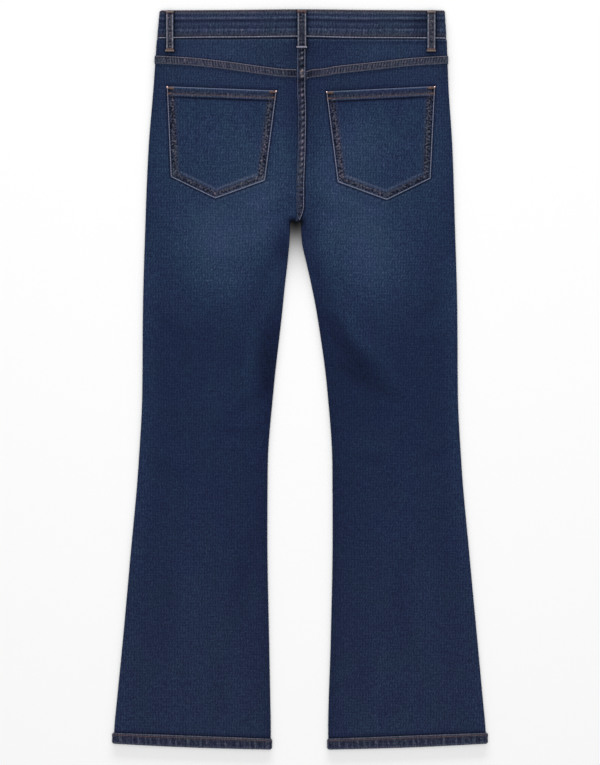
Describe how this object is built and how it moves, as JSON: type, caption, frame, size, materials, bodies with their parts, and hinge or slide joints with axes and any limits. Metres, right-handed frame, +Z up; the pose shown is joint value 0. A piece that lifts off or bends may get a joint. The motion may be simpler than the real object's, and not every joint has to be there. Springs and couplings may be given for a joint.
{
  "type": "bootcut jeans",
  "caption": "Bootcut jeans lying flat, back side up: waistband with belt loops, yoke, back patch pockets, and legs that flare from the knee to a turned-up hem.",
  "frame": {"origin": "middle of the footprint, on the surface that the jeans lie on", "axes": "+Y along the garment towards the waist, +Z up out of the back of the jeans, +X towards the wearer's right"},
  "size_m": [0.5394, 1.06, 0.0144],
  "materials": {
    "denim_back": "indigo stretch twill, faded over the seat",
    "denim_front": "indigo stretch twill",
    "denim_waistband": "doubled indigo twill, worn along its ridges",
    "denim_hem": "turned-up indigo twill, roped and worn",
    "denim_loop": "folded indigo twill, worn pale at its edges",
    "button_brass": "antiqued"
  },
  "bodies": {
    "root": {"back_panel_left": "denim_back", "back_panel_right": "denim_back", "back_yoke_left": "denim_back", "back_yoke_right": "denim_back", "back_pocket_left": "denim_back", "back_pocket_right": "denim_back", "front_panel_left": "denim_front", "front_panel_right": "denim_front", "waistband": "denim_waistband", "leg_hem_left": "denim_hem", "leg_hem_right": "denim_hem", "loop_centre_back": "denim_loop", "loop_back_left": "denim_loop", "loop_back_right": "denim_loop", "loop_front_left": "denim_loop", "loop_front_right": "denim_loop", "waist_button": "button_brass"}
  },
  "joints": []
}
